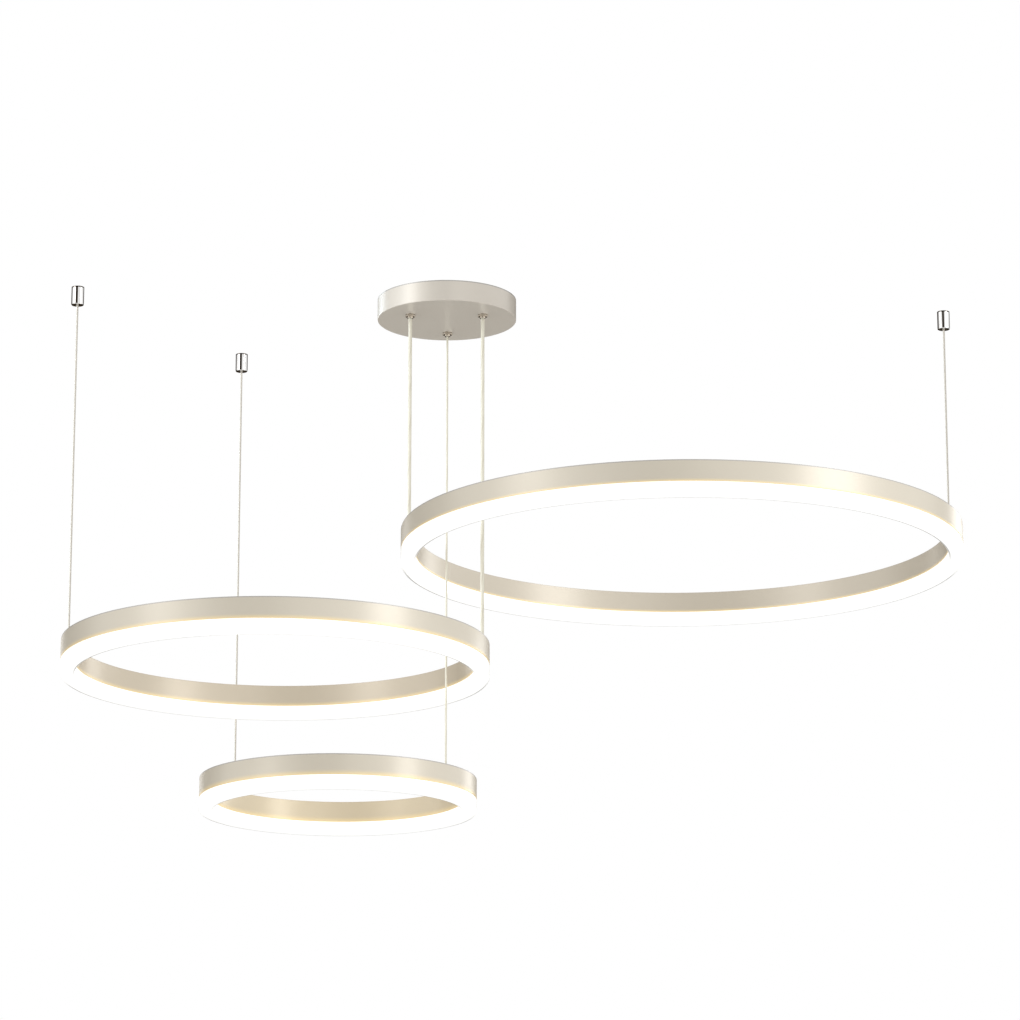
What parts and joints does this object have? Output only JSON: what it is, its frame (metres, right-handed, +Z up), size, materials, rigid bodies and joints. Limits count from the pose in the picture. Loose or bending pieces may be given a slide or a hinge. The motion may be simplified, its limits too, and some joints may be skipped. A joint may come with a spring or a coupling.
{
  "type": "led ring chandelier",
  "caption": "Pendant light: lit rings at different heights, each hung level from a round ceiling canopy and a small ceiling anchor by a power cable and a steel wire.",
  "frame": {"origin": "centre of the canopy on the ceiling plane, which is the middle of the ceiling plate's slots", "axes": "+Z up, -Y towards the viewer of the picture, +X to the viewer's right, where the largest ring hangs"},
  "size_m": [1.2727, 0.8, 0.719],
  "materials": {
    "champagne_paint": "satin champagne paint",
    "champagne_aluminium": "satin champagne paint on aluminium",
    "opal_acrylic": "lit opal, softly matt",
    "cable_sheath": "clear to cream PVC sheath",
    "wire_steel": "stranded steel with a thin clear coat",
    "chrome": "polished",
    "zinc_steel": "zinc plated",
    "brass": "turned",
    "white_plastic": "moulded",
    "nylon": "natural nylon",
    "circuit_board": "green solder mask",
    "led_board": "white board with yellow phosphor chips",
    "seal_rubber": "soft rubber",
    "pad_foam": "foam tape",
    "lead_brown": "single insulated wires",
    "lead_earth": "green and yellow insulation"
  },
  "bodies": {
    "ceiling_parts": {"canopy_shell": "champagne_paint", "canopy_screws": "zinc_steel", "ceiling_plate": "zinc_steel", "driver_tray": "white_plastic", "driver_lid": "white_plastic", "driver_board": "circuit_board", "driver_pads": "pad_foam", "terminal_block": "white_plastic", "terminal_screws": "zinc_steel", "mains_leads": "lead_brown", "earth_lead": "lead_earth", "earth_screw": "zinc_steel", "gland_lock_nuts": "brass", "gland_seals": "seal_rubber", "wire_grips": "brass", "wire_tails": "wire_steel", "large_gland_body": "chrome", "large_cable_tail": "cable_sheath", "large_anchor_base": "zinc_steel", "large_anchor_barrel": "chrome", "medium_gland_body": "chrome", "medium_cable_tail": "cable_sheath", "medium_anchor_base": "zinc_steel", "medium_anchor_barrel": "chrome", "small_gland_body": "chrome", "small_cable_tail": "cable_sheath", "small_anchor_base": "zinc_steel", "small_anchor_barrel": "chrome"},
    "large_gland_nut": {"large_gland_nut": "chrome"},
    "large_suspension": {"large_power_cable": "cable_sheath", "large_steel_wire": "wire_steel"},
    "large_cable_ends": {"large_cable_ends": "brass"},
    "large_ring": {"large_channel": "champagne_aluminium", "large_diffuser": "opal_acrylic", "large_led_strip": "led_board", "large_strip_connector": "nylon", "large_bushings": "nylon"},
    "medium_gland_nut": {"medium_gland_nut": "chrome"},
    "medium_suspension": {"medium_power_cable": "cable_sheath", "medium_steel_wire": "wire_steel"},
    "medium_cable_ends": {"medium_cable_ends": "brass"},
    "medium_ring": {"medium_channel": "champagne_aluminium", "medium_diffuser": "opal_acrylic", "medium_led_strip": "led_board", "medium_strip_connector": "nylon", "medium_bushings": "nylon"},
    "small_gland_nut": {"small_gland_nut": "chrome"},
    "small_suspension": {"small_power_cable": "cable_sheath", "small_steel_wire": "wire_steel"},
    "small_cable_ends": {"small_cable_ends": "brass"},
    "small_ring": {"small_channel": "champagne_aluminium", "small_diffuser": "opal_acrylic", "small_led_strip": "led_board", "small_strip_connector": "nylon", "small_bushings": "nylon"}
  },
  "joints": [
    {"name": "large_gland_nut_turn", "type": "hinge", "parent": "ceiling_parts", "child": "large_gland_nut", "pos_m": [-0.05196, -0.03, -0.0337], "axis": [0, 0, 1], "range_deg": [0, 180]},
    {"name": "large_ring_swing", "type": "hinge", "parent": "ceiling_parts", "child": "large_suspension", "pos_m": [-0.05196, -0.03, -0.0346], "axis": [0.9939, 0.1097, 0.0123], "range_deg": [-10, 10]},
    {"name": "large_ring_height", "type": "slide", "parent": "large_suspension", "child": "large_cable_ends", "axis": [0, 0, 1], "range_m": [0, 0.2], "deforming": ["large_power_cable", "large_steel_wire"]},
    {"name": "large_ring_tilt", "type": "hinge", "parent": "large_cable_ends", "child": "large_ring", "pos_m": [-0.05196, -0.03, -0.348], "axis": [0.994, 0.1097, 0], "range_deg": [-8, 8]},
    {"name": "medium_gland_nut_turn", "type": "hinge", "parent": "ceiling_parts", "child": "medium_gland_nut", "pos_m": [0.05196, -0.03, -0.0337], "axis": [0, 0, 1], "range_deg": [0, 180]},
    {"name": "medium_ring_swing", "type": "hinge", "parent": "ceiling_parts", "child": "medium_suspension", "pos_m": [0.05196, -0.03, -0.0346], "axis": [0.9981, 0.0593, -0.0166], "range_deg": [-2.5, 2.5]},
    {"name": "medium_ring_height", "type": "slide", "parent": "medium_suspension", "child": "medium_cable_ends", "axis": [0, 0, 1], "range_m": [0, 0.1], "deforming": ["medium_power_cable", "medium_steel_wire"]},
    {"name": "medium_ring_tilt", "type": "hinge", "parent": "medium_cable_ends", "child": "medium_ring", "pos_m": [0.05196, -0.03, -0.526], "axis": [0.9982, 0.0593, 0], "range_deg": [-5, 5]},
    {"name": "small_gland_nut_turn", "type": "hinge", "parent": "ceiling_parts", "child": "small_gland_nut", "pos_m": [0, 0.06, -0.0337], "axis": [0, 0, 1], "range_deg": [0, 180]},
    {"name": "small_ring_swing", "type": "hinge", "parent": "ceiling_parts", "child": "small_suspension", "pos_m": [0, 0.06, -0.0346], "axis": [0.8258, -0.5633, -0.0253], "range_deg": [-4, 1.5]},
    {"name": "small_ring_height", "type": "slide", "parent": "small_suspension", "child": "small_cable_ends", "axis": [0, 0, 1], "range_m": [0, 0.07], "deforming": ["small_power_cable", "small_steel_wire"]},
    {"name": "small_ring_tilt", "type": "hinge", "parent": "small_cable_ends", "child": "small_ring", "pos_m": [0, 0.06, -0.678], "axis": [0.8261, -0.5635, 0], "range_deg": [-8, 8]}
  ]
}
